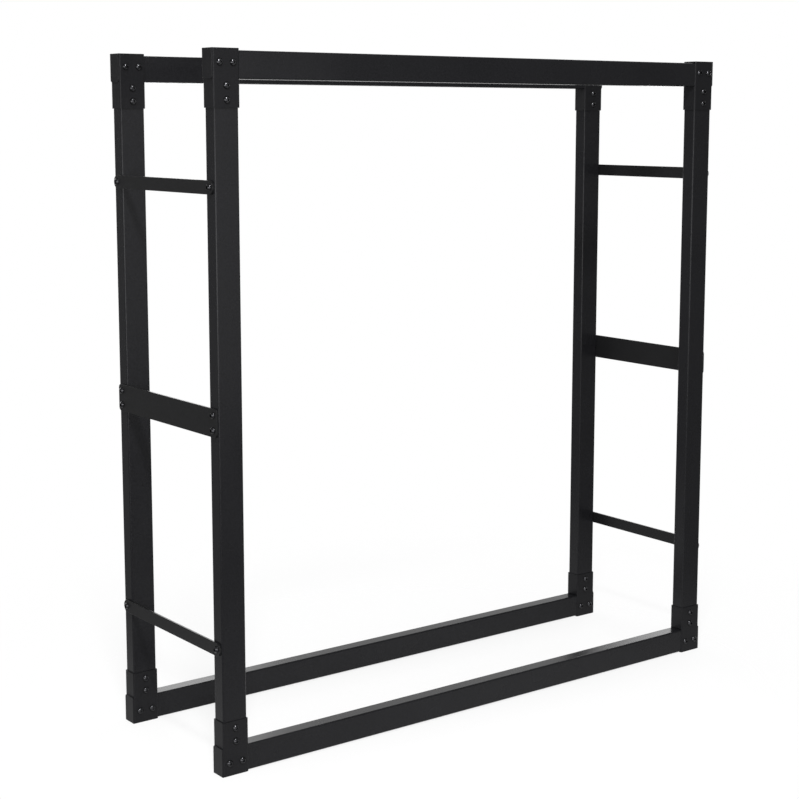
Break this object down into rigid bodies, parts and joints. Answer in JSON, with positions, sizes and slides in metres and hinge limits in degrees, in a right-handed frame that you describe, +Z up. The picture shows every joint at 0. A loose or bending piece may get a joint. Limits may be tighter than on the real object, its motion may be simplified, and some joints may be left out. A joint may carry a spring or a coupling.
{
  "type": "firewood rack",
  "caption": "Free-standing open firewood rack: front and rear rectangular tube frames joined by bolted corner brackets and flat side bars, for stacked logs.",
  "frame": {"origin": "middle of the footprint, on the floor", "axes": "+X along the rack's length, +Y from the front frame to the rear frame, +Z up"},
  "size_m": [1.0126, 0.3064, 1.0545],
  "materials": {
    "tube_coat": "satin black powder coat",
    "bracket_coat": "satin black powder coat",
    "brace_coat": "satin black powder coat",
    "bolt_black": "black oxide, oiled, slightly glossy",
    "insert_zinc": "bright zinc plate"
  },
  "bodies": {
    "root": {"front_bottom_rail": "tube_coat", "front_bottom_rail_inserts": "insert_zinc", "front_left_lower_bracket": "bracket_coat", "front_left_lower_bracket_bolts": "bolt_black", "front_left_upper_bracket": "bracket_coat", "front_left_upper_bracket_bolts": "bolt_black", "front_left_upright": "tube_coat", "front_left_upright_inserts": "insert_zinc", "front_right_lower_bracket": "bracket_coat", "front_right_lower_bracket_bolts": "bolt_black", "front_right_upper_bracket": "bracket_coat", "front_right_upper_bracket_bolts": "bolt_black", "front_right_upright": "tube_coat", "front_right_upright_inserts": "insert_zinc", "front_top_rail": "tube_coat", "front_top_rail_inserts": "insert_zinc", "left_brace_bolts": "bolt_black", "left_lower_brace": "brace_coat", "left_middle_brace": "brace_coat", "left_upper_brace": "brace_coat", "rear_bottom_rail": "tube_coat", "rear_bottom_rail_inserts": "insert_zinc", "rear_left_lower_bracket": "bracket_coat", "rear_left_lower_bracket_bolts": "bolt_black", "rear_left_upper_bracket": "bracket_coat", "rear_left_upper_bracket_bolts": "bolt_black", "rear_left_upright": "tube_coat", "rear_left_upright_inserts": "insert_zinc", "rear_right_lower_bracket": "bracket_coat", "rear_right_lower_bracket_bolts": "bolt_black", "rear_right_upper_bracket": "bracket_coat", "rear_right_upper_bracket_bolts": "bolt_black", "rear_right_upright": "tube_coat", "rear_right_upright_inserts": "insert_zinc", "rear_top_rail": "tube_coat", "rear_top_rail_inserts": "insert_zinc", "right_brace_bolts": "bolt_black", "right_lower_brace": "brace_coat", "right_middle_brace": "brace_coat", "right_upper_brace": "brace_coat"}
  },
  "joints": []
}
